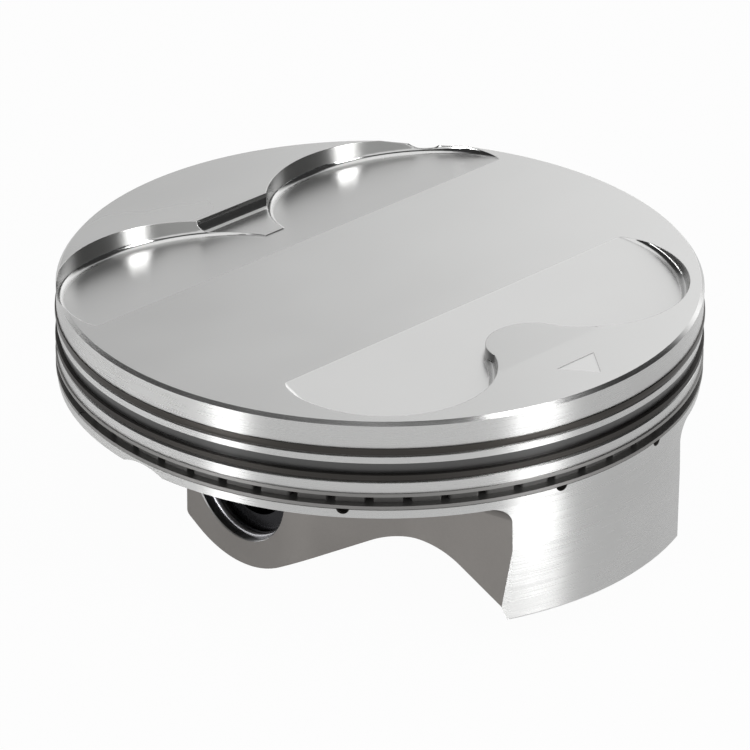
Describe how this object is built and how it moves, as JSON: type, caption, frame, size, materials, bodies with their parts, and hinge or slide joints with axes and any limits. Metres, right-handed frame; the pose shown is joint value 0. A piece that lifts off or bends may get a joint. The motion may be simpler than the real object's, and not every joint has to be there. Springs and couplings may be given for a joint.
{
  "type": "engine piston",
  "caption": "Forged four-valve engine piston with short box skirts, valve pockets in its crown, a ring pack, a hollow wrist pin and wire locks.",
  "frame": {"origin": "centre of the wrist pin, on the piston's axis", "axes": "+X along the wrist pin, +Z towards the crown, -Y towards the exhaust side"},
  "size_m": [0.096, 0.096, 0.0373],
  "materials": {
    "machined_aluminium": "bright turned and milled",
    "nitrided_ring": "dark nitrided, lapped face",
    "phosphated_ring": "black phosphated",
    "oil_rail": "dark nitrided",
    "expander_strip": "dark heat-treated strip",
    "coated_pin": "black carbon coated, polished",
    "spring_wire": "dark spring wire"
  },
  "bodies": {
    "piston": {"piston_body": "machined_aluminium", "wire_lock_left": "spring_wire", "wire_lock_right": "spring_wire"},
    "top_ring": {"top_compression_ring": "nitrided_ring"},
    "second_ring": {"second_compression_ring": "phosphated_ring"},
    "upper_rail": {"oil_ring_upper_rail": "oil_rail"},
    "expander": {"oil_ring_expander": "expander_strip"},
    "lower_rail": {"oil_ring_lower_rail": "oil_rail"},
    "pin": {"wrist_pin": "coated_pin"}
  },
  "joints": [
    {"name": "pin_float", "type": "hinge", "parent": "piston", "child": "pin", "pos_m": [0, 0, 0], "axis": [1, 0, 0], "continuous": true},
    {"name": "top_ring_turn", "type": "hinge", "parent": "piston", "child": "top_ring", "pos_m": [0, 0, 0.0191], "axis": [0, 0, 1], "continuous": true},
    {"name": "second_ring_turn", "type": "hinge", "parent": "piston", "child": "second_ring", "pos_m": [0, 0, 0.01495], "axis": [0, 0, 1], "continuous": true},
    {"name": "upper_rail_turn", "type": "hinge", "parent": "piston", "child": "upper_rail", "pos_m": [0, 0, 0.0123], "axis": [0, 0, 1], "continuous": true},
    {"name": "expander_turn", "type": "hinge", "parent": "piston", "child": "expander", "pos_m": [0, 0, 0.0113], "axis": [0, 0, 1], "continuous": true},
    {"name": "lower_rail_turn", "type": "hinge", "parent": "piston", "child": "lower_rail", "pos_m": [0, 0, 0.0104], "axis": [0, 0, 1], "continuous": true}
  ]
}
